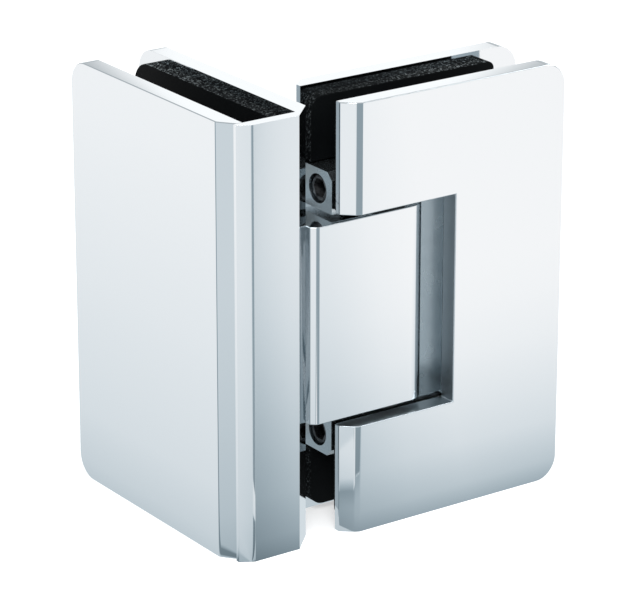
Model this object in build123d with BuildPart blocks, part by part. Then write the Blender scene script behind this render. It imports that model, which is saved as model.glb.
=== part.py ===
"""Glass-to-glass shower door hinge for a right-angled corner.

A fixed clamp grips the return panel and a C-shaped door clamp grips the door.
A pivot block bolted to the fixed clamp stands in the notch of the door clamp,
and a pin held in the door clamp's lugs turns in it.  Spring plungers in the
block press on the pin's flats and hold the door closed or square open.

Origin: on the pivot axis at mid height.  +X runs along the closed door,
+Y along the fixed panel, +Z up.  Millimetres.
"""
import os

from build123d import *

os.makedirs("parts", exist_ok=True)

# Glass and clamp plates
HEIGHT = 90.0
GLASS = 8.0
FACE_GASKET = 1.0
SEAT_GASKET = 3.0
PLATE = 4.0
CORNER_RADIUS = 5.0
EDGE_BREAK = 0.35

# Bevel on the edge of each plate that faces the corner, with a shallow lip at its crest
BEVEL_WIDTH = 3.5
BEVEL_DEPTH = 2.65
DOOR_LIP_WIDTH = 1.1
DOOR_LIP_DEPTH = 0.5
FIXED_LIP_WIDTH = 0.4
FIXED_LIP_DEPTH = 0.2

# Door clamp
DOOR_EDGE = 13.5
DOOR_WEB = 27.1
NOTCH_DEPTH = 26.4
NOTCH_HEIGHT = 44.2

# Fixed clamp
FIXED_REACH = 20.0
FIXED_LENGTH = 55.9
END_WALL = 2.5
RETURN_OVERHANG = 0.85
RETURN_BEVEL_WIDTH = 2.85
RETURN_BEVEL_DEPTH = 1.6
RETURN_LIP_WIDTH = 0.65
RETURN_LIP_DEPTH = 0.3
SWING_CHAMFER = 4.8
INNER_RADIUS = 1.0

# Pivot block
BLOCK_HEIGHT = 41.3
BLOCK_THICKNESS = 15.2
BLOCK_NOSE = 8.7
NOSE_RADIUS = 5.0
BLOCK_BEVEL = 1.5
BLOCK_LIP_WIDTH = 0.5
BLOCK_LIP_DEPTH = 0.2
BLOCK_EDGE_BREAK = 0.3

# Pivot carrier
LUG_THICKNESS = 8.4
CARRIER_WALL = 7.1
CARRIER_RADIUS = 3.0
CARRIER_CHAMFER = 1.5
PLATE_CLEARANCE = 0.2

# Pin, bushes and detent
PIN_RADIUS = 3.5
PIN_RECESS = 0.8
PIN_CHAMFER = 0.6
PIN_FLATS = 5.8
FLAT_LENGTH = 22.0
SET_FLAT_DEPTH = 0.45
BUSH_WALL = 1.5
BUSH_LENGTH = 8.0
FLANGE_WIDTH = 1.5
FLANGE_THICKNESS = 1.5
PLUNGER_RADIUS = 3.5
PLUNGER_LENGTH = 6.0
PLUNGER_SPACING = 12.0
PLUNGER_CHAMFER = 0.4
SPRING_POCKET_RADIUS = 2.6
SPRING_POCKET_DEPTH = 3.2
SPRING_RADIUS = 1.9
SPRING_WIRE = 0.9
SPRING_COILS = 4
ADJUSTER_LENGTH = 4.4

# Clearances
RUNNING_FIT = 0.05
SEATED_FIT = 0.02
PIN_BORE_RELIEF = 0.3
THRUST_FIT = 0.05
BOSS_GAP = 0.5
SLEEVE_FIT = 0.1
GASKET_FIT = 0.3

# Gaskets
GASKET_INSET = 1.7
GASKET_NEAR_INSET = 0.5
GASKET_NOTCH_INSET = 0.3
GASKET_NEAR_RADIUS = 3.0
DOOR_GASKET_FAR_INSET = 8.0
DOOR_GASKET_FAR_RADIUS = 1.5
FIXED_GASKET_FAR_INSET = 3.0
FIXED_GASKET_FAR_RADIUS = 5.0

# Screws
CLAMP_SCREW_RADIUS = 2.5
CLAMP_HEAD_RADIUS = 4.8
CLAMP_SCREW_LENGTH = 14.0
CLAMP_SCREW_SPACING = 54.0
DOOR_SCREW_SETBACK = 7.0
FIXED_SCREW_Y = 14.0
BOSS_RADIUS = 4.5
BOSS_SLEEVE = 1.0
BLOCK_SCREW_RADIUS = 2.5
BLOCK_SCREW_LENGTH = 15.0
BLOCK_SCREW_SPACING = 30.8
CARRIER_SCREW_RADIUS = 2.0
CARRIER_HEAD_RADIUS = 3.9
CARRIER_SCREW_LENGTH = 12.0
SET_SCREW_RADIUS = 3.0
SET_SCREW_RECESS = 0.5
ADJUSTER_RADIUS = 4.0
SOCKET_DEPTH = 2.0
SOCKET_SHARE = 0.6
SCREW_CLEARANCE = 0.25
THREAD_FIT = 0.03
HEAD_LAND = 0.3
TIP_CHAMFER = 0.5

# Derived places
SLOT = GLASS + FACE_GASKET + SEAT_GASKET
CLAMP_DEPTH = SLOT + 2 * PLATE
DOOR_LENGTH = NOTCH_DEPTH + DOOR_WEB
DOOR_FAR = DOOR_LENGTH - DOOR_EDGE
NOTCH_END = NOTCH_DEPTH - DOOR_EDGE
FIXED_OUTER = -FIXED_REACH - CLAMP_DEPTH
FIXED_SLOT_OUTER = FIXED_OUTER + PLATE
FIXED_SLOT_INNER = -FIXED_REACH - PLATE
CORNER_FACE = -CLAMP_DEPTH / 2
FIXED_NEAR = CORNER_FACE + END_WALL
FIXED_FAR = FIXED_NEAR + FIXED_LENGTH
RETURN_END = FIXED_SLOT_OUTER - (PLATE - BEVEL_DEPTH) - RETURN_OVERHANG
FLANGE_PROUD = (NOTCH_HEIGHT - BLOCK_HEIGHT) / 4
LUG_FACE = BLOCK_HEIGHT / 2 + FLANGE_PROUD + THRUST_FIT
LUG_TOP = LUG_FACE + LUG_THICKNESS
LUG_MIDDLE = LUG_FACE + LUG_THICKNESS / 2
CARRIER_FAR = NOTCH_END + CARRIER_WALL
DOOR_SCREW_X = CARRIER_FAR + DOOR_SCREW_SETBACK
CARRIER_FRONT = -SLOT / 2 + FACE_GASKET + PLATE_CLEARANCE
BUSH_RADIUS = PIN_RADIUS + RUNNING_FIT + BUSH_WALL
FLANGE_RADIUS = BUSH_RADIUS + FLANGE_WIDTH
SLEEVE_RADIUS = BOSS_RADIUS + SLEEVE_FIT + BOSS_SLEEVE
PLUNGER_TIP = -PIN_RADIUS - RUNNING_FIT
ADJUSTER_TIP = -FIXED_REACH + ADJUSTER_LENGTH + HEAD_LAND
GASKET_TOP = HEIGHT / 2 - GASKET_INSET
SET_SCREW_LENGTH = DOOR_EDGE - SET_SCREW_RECESS - PIN_RADIUS + SET_FLAT_DEPTH - SEATED_FIT


# ---------------------------------------------------------------- helpers
def standing(origin_x: float, origin_y: float, along: tuple, up: float) -> Plane:
    """Plan plane at the foot (up=1) or the head (up=-1) of a clamp plate."""
    return Plane(origin=(origin_x, origin_y, -up * HEIGHT / 2), x_dir=along, z_dir=(0, 0, up))


def bevelled_plate(plan: Plane, length: float, lip_width: float, lip_depth: float) -> Part:
    """Clamp plate: inner face on the plan's X axis, bevelled at its near end."""
    with BuildPart() as plate:
        with BuildSketch(plan):
            with BuildLine():
                Polyline(
                    (0, 0),
                    (length, 0),
                    (length, PLATE),
                    (BEVEL_WIDTH, PLATE),
                    (BEVEL_WIDTH - lip_width, PLATE - lip_depth),
                    (0, PLATE - BEVEL_DEPTH),
                    close=True,
                )
            make_face()
        extrude(amount=HEIGHT)
        across = plate.edges().filter_by(Axis(plan.origin, plan.y_dir))
        fillet(across.sort_by(Axis(plan.origin, plan.x_dir))[-2:], CORNER_RADIUS)
    return plate.part


def flat_head_screw(face: Plane, radius: float, head_radius: float, length: float) -> Part:
    """Countersunk socket screw: head flush with the face, shank along the face's -Z."""
    cone = head_radius - radius
    with BuildPart() as screw:
        with BuildSketch(Plane(face.origin, x_dir=face.x_dir, z_dir=-face.y_dir)):
            with BuildLine():
                Polyline(
                    (0, 0),
                    (head_radius, 0),
                    (head_radius, -HEAD_LAND),
                    (radius, -HEAD_LAND - cone),
                    (radius, TIP_CHAMFER - length),
                    (radius - TIP_CHAMFER, -length),
                    (0, -length),
                    close=True,
                )
            make_face()
        revolve(axis=Axis(face.origin, face.z_dir))
        with BuildSketch(face):
            RegularPolygon(radius * SOCKET_SHARE, 6, major_radius=False)
        extrude(amount=-SOCKET_DEPTH, mode=Mode.SUBTRACT)
    return screw.part


def set_screw(face: Plane, radius: float, length: float) -> Part:
    """Headless socket screw whose driven end lies on the face, running along -Z."""
    with BuildPart() as screw:
        with BuildSketch(face):
            Circle(radius)
        extrude(amount=-length)
        chamfer(screw.edges().filter_by(GeomType.CIRCLE), TIP_CHAMFER)
        with BuildSketch(face):
            RegularPolygon(radius * SOCKET_SHARE, 6, major_radius=False)
        extrude(amount=-radius, mode=Mode.SUBTRACT)
    return screw.part


def fixed_gasket(face: Plane, thickness: float) -> Part:
    """Rubber sheet lining one side of the fixed glass slot; the face's X runs along +Y."""
    near = FIXED_NEAR + INNER_RADIUS + GASKET_FIT
    far = FIXED_FAR - FIXED_GASKET_FAR_INSET
    with BuildPart() as sheet:
        with BuildSketch(face) as outline:
            with Locations(((near + far) / 2, 0)):
                Rectangle(far - near, 2 * GASKET_TOP)
            fillet(outline.vertices().sort_by(Axis.X)[-2:], FIXED_GASKET_FAR_RADIUS)
            fillet(outline.vertices().sort_by(Axis.X)[:2], GASKET_NEAR_RADIUS)
            with Locations((FIXED_SCREW_Y, 0)):
                with GridLocations(1, CLAMP_SCREW_SPACING, 1, 2):
                    Circle(SLEEVE_RADIUS + GASKET_FIT, mode=Mode.SUBTRACT)
        extrude(amount=thickness)
    return sheet.part


def door_gasket(face: Plane, thickness: float, heel: float, arm: float) -> Part:
    """C-shaped rubber sheet on a door plate, open round the notch as far as heel and arm."""
    near = -DOOR_EDGE + GASKET_NEAR_INSET
    far = DOOR_FAR - DOOR_GASKET_FAR_INSET
    with BuildPart() as sheet:
        with BuildSketch(face) as outline:
            with Locations(((near + far) / 2, 0)):
                Rectangle(far - near, 2 * GASKET_TOP)
            fillet(outline.vertices().sort_by(Axis.X)[-2:], DOOR_GASKET_FAR_RADIUS)
            fillet(outline.vertices().sort_by(Axis.X)[:2], GASKET_NEAR_RADIUS)
            with Locations(((near + heel) / 2, 0)):
                Rectangle(heel - near, 2 * arm, mode=Mode.SUBTRACT)
            with Locations((DOOR_SCREW_X, 0)):
                with GridLocations(1, CLAMP_SCREW_SPACING, 1, 2):
                    Circle(SLEEVE_RADIUS + GASKET_FIT, mode=Mode.SUBTRACT)
        extrude(amount=thickness)
    return sheet.part


def screw_pair(face: Plane, spacing: float, screw_at) -> Part:
    """Two like screws, one above and one below the face's origin."""
    with BuildPart() as pair:
        for side in (-1, 1):
            add(screw_at(Plane(face.origin + Vector(0, 0, side * spacing / 2), face.x_dir, face.z_dir)))
    return pair.part


# Planes that several pieces share.  A face's Z points out of the material it closes.
FIXED_PLATE_SEAT = Plane((FIXED_SLOT_OUTER, 0, 0), x_dir=(0, 1, 0), z_dir=(1, 0, 0))
FIXED_BODY_SEAT = Plane((FIXED_SLOT_INNER, 0, 0), x_dir=(0, 1, 0), z_dir=(-1, 0, 0))
FIXED_BACK = Plane((-FIXED_REACH, FIXED_SCREW_Y, 0), x_dir=(0, 1, 0), z_dir=(1, 0, 0))
DOOR_FRONT_SEAT = Plane((0, -SLOT / 2, 0), x_dir=(1, 0, 0), z_dir=(0, 1, 0))
DOOR_BACK_SEAT = Plane((0, SLOT / 2, 0), x_dir=(1, 0, 0), z_dir=(0, -1, 0))
DOOR_BACK = Plane((DOOR_SCREW_X, CLAMP_DEPTH / 2, 0), x_dir=(1, 0, 0), z_dir=(0, 1, 0))
BLOCK_SEAT = Plane((-FIXED_REACH, 0, 0), x_dir=(0, 1, 0), z_dir=(-1, 0, 0))
CARRIER_BACK = Plane(((NOTCH_END + CARRIER_FAR) / 2, CLAMP_DEPTH / 2, 0), x_dir=(1, 0, 0), z_dir=(0, 1, 0))


# ---------------------------------------------------------------- fixed clamp
# Outer plate of the fixed clamp, with two tapped bosses that reach through the glass.
fixed_plate_blank = bevelled_plate(
    standing(FIXED_SLOT_OUTER, FIXED_NEAR, (0, 1, 0), 1), FIXED_LENGTH, FIXED_LIP_WIDTH, FIXED_LIP_DEPTH
)
with BuildPart() as fixed_outer_plate:
    add(fixed_plate_blank)
    outer_edges = fixed_outer_plate.faces().sort_by(Axis.X)[0].edges()
    chamfer(outer_edges.filter_by(Axis.Z, reverse=True) + outer_edges.sort_by(Axis.Y)[-1:], EDGE_BREAK)
    with BuildSketch(FIXED_PLATE_SEAT):
        with Locations((FIXED_SCREW_Y, 0)):
            with GridLocations(1, CLAMP_SCREW_SPACING, 1, 2):
                Circle(BOSS_RADIUS)
    extrude(amount=SLOT - BOSS_GAP)
    with BuildSketch(FIXED_PLATE_SEAT.offset(SLOT - BOSS_GAP)):
        with Locations((FIXED_SCREW_Y, 0)):
            with GridLocations(1, CLAMP_SCREW_SPACING, 1, 2):
                Circle(CLAMP_SCREW_RADIUS + THREAD_FIT)
    extrude(amount=PLATE - CLAMP_SCREW_LENGTH, mode=Mode.SUBTRACT)
fixed_outer_plate.part.label = "fixed_outer_plate"
export_step(fixed_outer_plate.part, "parts/fixed_outer_plate.step")

# Cast body of the fixed clamp: the end wall that closes the slot and the back
# plate are one L-shaped piece.  Its swing corner is cut at 45 degrees.
with BuildPart() as fixed_body:
    with BuildSketch(Plane.XY.offset(-HEIGHT / 2)):
        with BuildLine():
            Polyline(
                (RETURN_END, FIXED_NEAR),
                (RETURN_END, CORNER_FACE + RETURN_BEVEL_DEPTH),
                (RETURN_END + RETURN_BEVEL_WIDTH - RETURN_LIP_WIDTH, CORNER_FACE + RETURN_LIP_DEPTH),
                (RETURN_END + RETURN_BEVEL_WIDTH, CORNER_FACE),
                (-FIXED_REACH - SWING_CHAMFER, CORNER_FACE),
                (-FIXED_REACH, CORNER_FACE + SWING_CHAMFER),
                (-FIXED_REACH, FIXED_FAR),
                (FIXED_SLOT_INNER, FIXED_FAR),
                (FIXED_SLOT_INNER, FIXED_NEAR),
                close=True,
            )
        make_face()
    extrude(amount=HEIGHT)
    fillet(fixed_body.edges().filter_by(Axis.X).sort_by(Axis.Y)[-2:], CORNER_RADIUS)
    inner_corner = (FIXED_SLOT_INNER, FIXED_NEAR, 0)
    fillet(fixed_body.edges().filter_by(Axis.Z).sort_by_distance(inner_corner)[0], INNER_RADIUS)
    back_edges = fixed_body.faces().sort_by(Axis.X)[-1].edges()
    chamfer(back_edges.filter_by(Axis.Z, reverse=True) + back_edges.sort_by(Axis.Y)[-1:], EDGE_BREAK)
    with Locations(FIXED_BACK):
        with GridLocations(1, CLAMP_SCREW_SPACING, 1, 2):
            CounterSinkHole(
                CLAMP_SCREW_RADIUS + SCREW_CLEARANCE,
                CLAMP_HEAD_RADIUS + HEAD_LAND,
                depth=2 * PLATE,
                counter_sink_angle=90,
            )
    with Locations(FIXED_BODY_SEAT):
        with GridLocations(1, BLOCK_SCREW_SPACING, 1, 2):
            CounterSinkHole(
                BLOCK_SCREW_RADIUS + SCREW_CLEARANCE,
                CLAMP_HEAD_RADIUS + HEAD_LAND,
                depth=2 * PLATE,
                counter_sink_angle=90,
            )
fixed_body.part.label = "fixed_body"
export_step(fixed_body.part, "parts/fixed_body.step")

# Thin gasket on the outer plate and thick gasket on the body, in black rubber.
fixed_face_gasket = fixed_gasket(FIXED_PLATE_SEAT, FACE_GASKET)
fixed_face_gasket.label = "fixed_face_gasket"
export_step(fixed_face_gasket, "parts/fixed_face_gasket.step")

fixed_seat_gasket = fixed_gasket(FIXED_BODY_SEAT, SEAT_GASKET)
fixed_seat_gasket.label = "fixed_seat_gasket"
export_step(fixed_seat_gasket, "parts/fixed_seat_gasket.step")

# Nylon sleeves that keep the tapped bosses off the glass.
with BuildPart() as fixed_boss_sleeves:
    with BuildSketch(FIXED_PLATE_SEAT):
        with Locations((FIXED_SCREW_Y, 0)):
            with GridLocations(1, CLAMP_SCREW_SPACING, 1, 2):
                Circle(SLEEVE_RADIUS)
                Circle(BOSS_RADIUS + SLEEVE_FIT, mode=Mode.SUBTRACT)
    extrude(amount=SLOT - BOSS_GAP)
fixed_boss_sleeves.part.label = "fixed_boss_sleeves"
export_step(fixed_boss_sleeves.part, "parts/fixed_boss_sleeves.step")

# Two countersunk screws draw the fixed body and the outer plate together.
fixed_clamp_screws = screw_pair(
    FIXED_BACK,
    CLAMP_SCREW_SPACING,
    lambda face: flat_head_screw(face, CLAMP_SCREW_RADIUS, CLAMP_HEAD_RADIUS, CLAMP_SCREW_LENGTH),
)
fixed_clamp_screws.label = "fixed_clamp_screws"
export_step(fixed_clamp_screws, "parts/fixed_clamp_screws.step")

# ---------------------------------------------------------------- pivot block
# Solid block bolted to the fixed body.  It carries the pin bushes top and bottom
# and two spring plungers that bear on the pin from the fixed side.
with BuildPart() as pivot_block:
    with BuildSketch(Plane.XY.offset(-BLOCK_HEIGHT / 2)):
        with BuildLine() as half:
            Polyline(
                (-FIXED_REACH, 0),
                (-FIXED_REACH, BLOCK_THICKNESS / 2 - BLOCK_BEVEL),
                (-FIXED_REACH + BLOCK_BEVEL - BLOCK_LIP_WIDTH, BLOCK_THICKNESS / 2 - BLOCK_LIP_DEPTH),
                (-FIXED_REACH + BLOCK_BEVEL, BLOCK_THICKNESS / 2),
                (BLOCK_NOSE, BLOCK_THICKNESS / 2),
                (BLOCK_NOSE, 0),
            )
            mirror(half.line, about=Plane.XZ)
        make_face()
    extrude(amount=BLOCK_HEIGHT)
    fillet(pivot_block.edges().filter_by(Axis.Z).sort_by(Axis.X)[-2:], NOSE_RADIUS)
    ends = pivot_block.faces().filter_by(Axis.Z)
    chamfer(ends.edges(), BLOCK_EDGE_BREAK)
    with BuildSketch(Plane.XY):
        Circle(PIN_RADIUS + PIN_BORE_RELIEF)
    extrude(amount=BLOCK_HEIGHT, both=True, mode=Mode.SUBTRACT)
    for end in (Plane.XY.offset(BLOCK_HEIGHT / 2), -Plane.XY.offset(-BLOCK_HEIGHT / 2)):
        with BuildSketch(end):
            Circle(BUSH_RADIUS + SEATED_FIT)
        extrude(amount=-BUSH_LENGTH, mode=Mode.SUBTRACT)
        with BuildSketch(end):
            Circle(FLANGE_RADIUS + SEATED_FIT)
        extrude(amount=FLANGE_PROUD - FLANGE_THICKNESS, mode=Mode.SUBTRACT)
    with BuildSketch(BLOCK_SEAT):
        with GridLocations(1, PLUNGER_SPACING, 1, 2):
            Circle(PLUNGER_RADIUS + RUNNING_FIT)
    extrude(amount=-FIXED_REACH, mode=Mode.SUBTRACT)
    with BuildSketch(BLOCK_SEAT):
        with GridLocations(1, PLUNGER_SPACING, 1, 2):
            Circle(ADJUSTER_RADIUS + THREAD_FIT)
    extrude(amount=-ADJUSTER_LENGTH - HEAD_LAND, mode=Mode.SUBTRACT)
    with BuildSketch(BLOCK_SEAT):
        with GridLocations(1, BLOCK_SCREW_SPACING, 1, 2):
            Circle(BLOCK_SCREW_RADIUS + THREAD_FIT)
    extrude(amount=PLATE - BLOCK_SCREW_LENGTH - TIP_CHAMFER, mode=Mode.SUBTRACT)
pivot_block.part.label = "pivot_block"
export_step(pivot_block.part, "parts/pivot_block.step")

# Two countersunk screws from the slot side hold the block to the fixed body.
block_screws = screw_pair(
    Plane((FIXED_SLOT_INNER, 0, 0), x_dir=(0, 1, 0), z_dir=(-1, 0, 0)),
    BLOCK_SCREW_SPACING,
    lambda face: flat_head_screw(face, BLOCK_SCREW_RADIUS, CLAMP_HEAD_RADIUS, BLOCK_SCREW_LENGTH),
)
block_screws.label = "block_screws"
export_step(block_screws, "parts/block_screws.step")

# Flanged nylon bushes: the flanges carry the door's weight on the carrier's lugs.
with BuildPart() as upper_bush:
    with BuildSketch(Plane.XY.offset(BLOCK_HEIGHT / 2 - BUSH_LENGTH)):
        Circle(BUSH_RADIUS)
    extrude(amount=BUSH_LENGTH + FLANGE_PROUD)
    with BuildSketch(Plane.XY.offset(BLOCK_HEIGHT / 2 + FLANGE_PROUD)):
        Circle(FLANGE_RADIUS)
    extrude(amount=-FLANGE_THICKNESS)
    with BuildSketch(Plane.XY):
        Circle(PIN_RADIUS + RUNNING_FIT)
    extrude(amount=BLOCK_HEIGHT, mode=Mode.SUBTRACT)
upper_bush.part.label = "upper_bush"
export_step(upper_bush.part, "parts/upper_bush.step")

with BuildPart() as lower_bush:
    add(mirror(upper_bush.part, about=Plane.XY, mode=Mode.PRIVATE))
lower_bush.part.label = "lower_bush"
export_step(lower_bush.part, "parts/lower_bush.step")

# Detent plunger: flat tip towards the pin, spring pocket at the back.
with BuildPart() as upper_plunger:
    with BuildSketch(Plane((PLUNGER_TIP, 0, PLUNGER_SPACING / 2), x_dir=(0, 1, 0), z_dir=(-1, 0, 0))):
        Circle(PLUNGER_RADIUS)
    extrude(amount=PLUNGER_LENGTH)
    chamfer(upper_plunger.edges().filter_by(GeomType.CIRCLE), PLUNGER_CHAMFER)
    with BuildSketch(Plane(upper_plunger.faces().sort_by(Axis.X)[0])):
        Circle(SPRING_POCKET_RADIUS)
    extrude(amount=-SPRING_POCKET_DEPTH, mode=Mode.SUBTRACT)
upper_plunger.part.label = "upper_plunger"
export_step(upper_plunger.part, "parts/upper_plunger.step")

with BuildPart() as lower_plunger:
    add(mirror(upper_plunger.part, about=Plane.XY, mode=Mode.PRIVATE))
lower_plunger.part.label = "lower_plunger"
export_step(lower_plunger.part, "parts/lower_plunger.step")

# Detent spring of square wire between the plunger's pocket and the adjuster.
pocket_floor = PLUNGER_TIP - PLUNGER_LENGTH + SPRING_POCKET_DEPTH
spring_start = ADJUSTER_TIP + SPRING_WIRE / 2 + SEATED_FIT
spring_end = pocket_floor - SPRING_WIRE / 2 - SEATED_FIT
spring_pitch = (spring_end - spring_start) / SPRING_COILS
with BuildPart() as upper_spring:
    with BuildLine():
        coil = Helix(
            pitch=spring_pitch,
            height=spring_end - spring_start,
            radius=SPRING_RADIUS,
            center=(spring_start, 0, PLUNGER_SPACING / 2),
            direction=(1, 0, 0),
        )
    outward = coil @ 0 - Vector(spring_start, 0, PLUNGER_SPACING / 2)
    with BuildSketch(Plane(coil @ 0, x_dir=outward, z_dir=coil % 0)):
        Rectangle(SPRING_WIRE, SPRING_WIRE)
    sweep(is_frenet=True)
upper_spring.part.label = "upper_spring"
export_step(upper_spring.part, "parts/upper_spring.step")

with BuildPart() as lower_spring:
    add(mirror(upper_spring.part, about=Plane.XY, mode=Mode.PRIVATE))
lower_spring.part.label = "lower_spring"
export_step(lower_spring.part, "parts/lower_spring.step")

# Socket screws that close the plunger bores and set the springs.
spring_adjusters = screw_pair(
    Plane((-FIXED_REACH + HEAD_LAND, 0, 0), x_dir=(0, 1, 0), z_dir=(-1, 0, 0)),
    PLUNGER_SPACING,
    lambda face: set_screw(face, ADJUSTER_RADIUS, ADJUSTER_LENGTH),
)
spring_adjusters.label = "spring_adjusters"
export_step(spring_adjusters, "parts/spring_adjusters.step")

# ---------------------------------------------------------------- door clamp
# Front plate of the door clamp: a C around the pivot block, with two tapped bosses.
door_front_blank = bevelled_plate(
    standing(-DOOR_EDGE, -SLOT / 2, (1, 0, 0), -1), DOOR_LENGTH, DOOR_LIP_WIDTH, DOOR_LIP_DEPTH
)
with BuildPart() as door_front_plate:
    add(door_front_blank)
    with BuildSketch(Plane.XZ):
        with Locations((NOTCH_END - NOTCH_DEPTH / 2, 0)):
            Rectangle(NOTCH_DEPTH, NOTCH_HEIGHT)
    extrude(amount=CLAMP_DEPTH, mode=Mode.SUBTRACT)
    front_edges = door_front_plate.faces().sort_by(Axis.Y)[0].edges()
    chamfer(front_edges.filter_by(Axis.Z, reverse=True) + front_edges.sort_by(Axis.X)[-1:], EDGE_BREAK)
    with BuildSketch(DOOR_FRONT_SEAT):
        with Locations((DOOR_SCREW_X, 0)):
            with GridLocations(1, CLAMP_SCREW_SPACING, 1, 2):
                Circle(BOSS_RADIUS)
    extrude(amount=SLOT - BOSS_GAP)
    with BuildSketch(DOOR_FRONT_SEAT.offset(SLOT - BOSS_GAP)):
        with Locations((DOOR_SCREW_X, 0)):
            with GridLocations(1, CLAMP_SCREW_SPACING, 1, 2):
                Circle(CLAMP_SCREW_RADIUS + THREAD_FIT)
    extrude(amount=PLATE - CLAMP_SCREW_LENGTH, mode=Mode.SUBTRACT)
door_front_plate.part.label = "door_front_plate"
export_step(door_front_plate.part, "parts/door_front_plate.step")

# Back plate of the door clamp: the same C, countersunk for the screws.
door_back_blank = bevelled_plate(
    standing(-DOOR_EDGE, SLOT / 2, (1, 0, 0), 1), DOOR_LENGTH, DOOR_LIP_WIDTH, DOOR_LIP_DEPTH
)
with BuildPart() as door_back_plate:
    add(door_back_blank)
    with BuildSketch(Plane.XZ):
        with Locations((NOTCH_END - NOTCH_DEPTH / 2, 0)):
            Rectangle(NOTCH_DEPTH, NOTCH_HEIGHT)
    extrude(amount=-CLAMP_DEPTH, mode=Mode.SUBTRACT)
    back_edges = door_back_plate.faces().sort_by(Axis.Y)[-1].edges()
    chamfer(back_edges.filter_by(Axis.Z, reverse=True) + back_edges.sort_by(Axis.X)[-1:], EDGE_BREAK)
    with Locations(DOOR_BACK):
        with GridLocations(1, CLAMP_SCREW_SPACING, 1, 2):
            CounterSinkHole(
                CLAMP_SCREW_RADIUS + SCREW_CLEARANCE,
                CLAMP_HEAD_RADIUS + HEAD_LAND,
                depth=2 * PLATE,
                counter_sink_angle=90,
            )
    with Locations(CARRIER_BACK):
        with GridLocations(1, 2 * LUG_MIDDLE, 1, 2):
            CounterSinkHole(
                CARRIER_SCREW_RADIUS + SCREW_CLEARANCE,
                CARRIER_HEAD_RADIUS + HEAD_LAND,
                depth=2 * PLATE,
                counter_sink_angle=90,
            )
door_back_plate.part.label = "door_back_plate"
export_step(door_back_plate.part, "parts/door_back_plate.step")

# Pivot carrier: a brass yoke between the plates that fills the door glass's
# cut-out.  Its two lugs hold the pin, and its back wall closes the notch.
with BuildPart() as pivot_carrier:
    with BuildSketch(Plane.XZ.offset(-CARRIER_FRONT)) as yoke:
        with Locations(((CARRIER_FAR - DOOR_EDGE) / 2, 0)):
            Rectangle(CARRIER_FAR + DOOR_EDGE, 2 * LUG_TOP)
        fillet(yoke.vertices().sort_by(Axis.X)[-2:], CARRIER_RADIUS)
        with Locations((NOTCH_END - NOTCH_DEPTH / 2, 0)):
            Rectangle(NOTCH_DEPTH, 2 * LUG_FACE, mode=Mode.SUBTRACT)
    extrude(amount=CARRIER_FRONT - SLOT / 2)
    rims = pivot_carrier.faces().sort_by(Axis.Y)[0].edges().filter_by(Axis.X)
    chamfer(rims.sort_by(Axis.Z)[0:1] + rims.sort_by(Axis.Z)[-1:], CARRIER_CHAMFER)
    with BuildSketch(Plane.XY):
        Circle(PIN_RADIUS + SEATED_FIT)
    extrude(amount=LUG_TOP, both=True, mode=Mode.SUBTRACT)
    with BuildSketch(Plane((-DOOR_EDGE, 0, 0), x_dir=(0, 1, 0), z_dir=(-1, 0, 0))):
        with GridLocations(1, 2 * LUG_MIDDLE, 1, 2):
            Circle(SET_SCREW_RADIUS + THREAD_FIT)
    extrude(amount=-DOOR_EDGE, mode=Mode.SUBTRACT)
    with BuildSketch(CARRIER_BACK.offset(-PLATE)):
        with GridLocations(1, 2 * LUG_MIDDLE, 1, 2):
            Circle(CARRIER_SCREW_RADIUS + THREAD_FIT)
    extrude(amount=PLATE - CARRIER_SCREW_LENGTH - TIP_CHAMFER, mode=Mode.SUBTRACT)
pivot_carrier.part.label = "pivot_carrier"
export_step(pivot_carrier.part, "parts/pivot_carrier.step")

# Two countersunk screws fix the carrier to the back plate.
carrier_screws = screw_pair(
    CARRIER_BACK,
    2 * LUG_MIDDLE,
    lambda face: flat_head_screw(face, CARRIER_SCREW_RADIUS, CARRIER_HEAD_RADIUS, CARRIER_SCREW_LENGTH),
)
carrier_screws.label = "carrier_screws"
export_step(carrier_screws, "parts/carrier_screws.step")

# Steel pin with four detent flats at mid length and a seat for each set screw.
with BuildPart() as pivot_pin:
    with BuildSketch(Plane.XY.offset(PIN_RECESS - LUG_TOP)):
        Circle(PIN_RADIUS)
    extrude(amount=2 * (LUG_TOP - PIN_RECESS))
    chamfer(pivot_pin.edges().filter_by(GeomType.CIRCLE), PIN_CHAMFER)
    with BuildSketch(Plane.XY.offset(-FLAT_LENGTH / 2)):
        Circle(2 * PIN_RADIUS)
        Rectangle(PIN_FLATS, PIN_FLATS, mode=Mode.SUBTRACT)
    extrude(amount=FLAT_LENGTH, mode=Mode.SUBTRACT)
    with BuildSketch(Plane.XZ):
        with Locations((-PIN_RADIUS, 0)):
            with GridLocations(1, 2 * LUG_MIDDLE, 1, 2):
                Rectangle(2 * SET_FLAT_DEPTH, 2 * (SET_SCREW_RADIUS + GASKET_FIT))
    extrude(amount=PIN_RADIUS, both=True, mode=Mode.SUBTRACT)
pivot_pin.part.label = "pivot_pin"
export_step(pivot_pin.part, "parts/pivot_pin.step")

# Socket set screws in the lugs' end faces lock the pin.
pin_set_screws = screw_pair(
    Plane((-DOOR_EDGE + SET_SCREW_RECESS, 0, 0), x_dir=(0, 1, 0), z_dir=(-1, 0, 0)),
    2 * LUG_MIDDLE,
    lambda face: set_screw(face, SET_SCREW_RADIUS, SET_SCREW_LENGTH),
)
pin_set_screws.label = "pin_set_screws"
export_step(pin_set_screws, "parts/pin_set_screws.step")

# C-shaped gaskets on both door plates.  The thin one runs on over the carrier as far
# as the notch, and the thick one stops round the carrier.
door_face_gasket = door_gasket(
    DOOR_FRONT_SEAT, FACE_GASKET, NOTCH_END + GASKET_NOTCH_INSET, NOTCH_HEIGHT / 2 + GASKET_NOTCH_INSET
)
door_face_gasket.label = "door_face_gasket"
export_step(door_face_gasket, "parts/door_face_gasket.step")

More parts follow.
